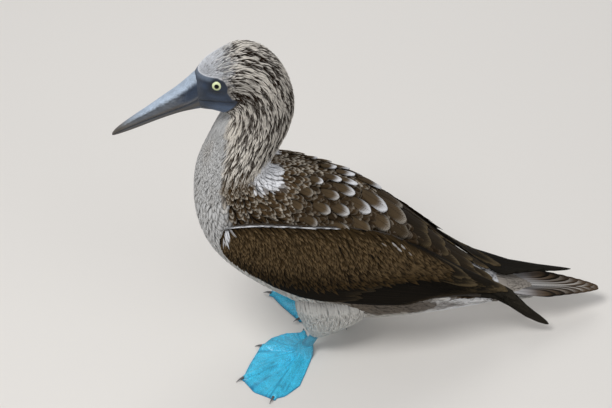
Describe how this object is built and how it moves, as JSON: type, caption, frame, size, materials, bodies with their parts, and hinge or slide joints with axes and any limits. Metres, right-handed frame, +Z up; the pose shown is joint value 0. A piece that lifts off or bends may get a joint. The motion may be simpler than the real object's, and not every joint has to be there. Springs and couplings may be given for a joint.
{
  "type": "blue footed booby",
  "caption": "Life-size blue footed booby, standing on its webbed blue feet with wings folded, neck raised and bill pointing ahead and down.",
  "frame": {"origin": "on the floor, under the middle of the bird's length and width", "axes": "+X towards the bird's left side, -Y the way the bill points, +Z up"},
  "size_m": [0.206, 0.502, 0.3788],
  "materials": {
    "streaked_feathers": "soft feathers, brown streaked with white",
    "white_feathers": "soft white feathers",
    "brown_feathers": "dark brown feathers, matte",
    "tail_feathers": "stiff feathers, pale with brown edges",
    "bare_skin": "bare slate blue skin",
    "bill": "blue grey horn, satin",
    "eye": "wet eye, pale yellow iris and black pupil",
    "foot_skin": "bright blue scaled skin, satin",
    "claw": "dark grey horn"
  },
  "bodies": {
    "root": {"head": "streaked_feathers", "neck": "streaked_feathers", "torso": "white_feathers", "left_thigh": "white_feathers", "right_thigh": "white_feathers", "left_wing": "brown_feathers", "right_wing": "brown_feathers", "tail": "tail_feathers", "face": "bare_skin", "upper_mandible": "bill", "lower_mandible": "bill", "left_eye": "eye", "right_eye": "eye", "left_shank": "foot_skin", "right_shank": "foot_skin", "left_foot": "foot_skin", "right_foot": "foot_skin", "left_claw_1": "claw", "left_claw_2": "claw", "left_claw_3": "claw", "left_claw_4": "claw", "right_claw_1": "claw", "right_claw_2": "claw", "right_claw_3": "claw", "right_claw_4": "claw"}
  },
  "joints": []
}
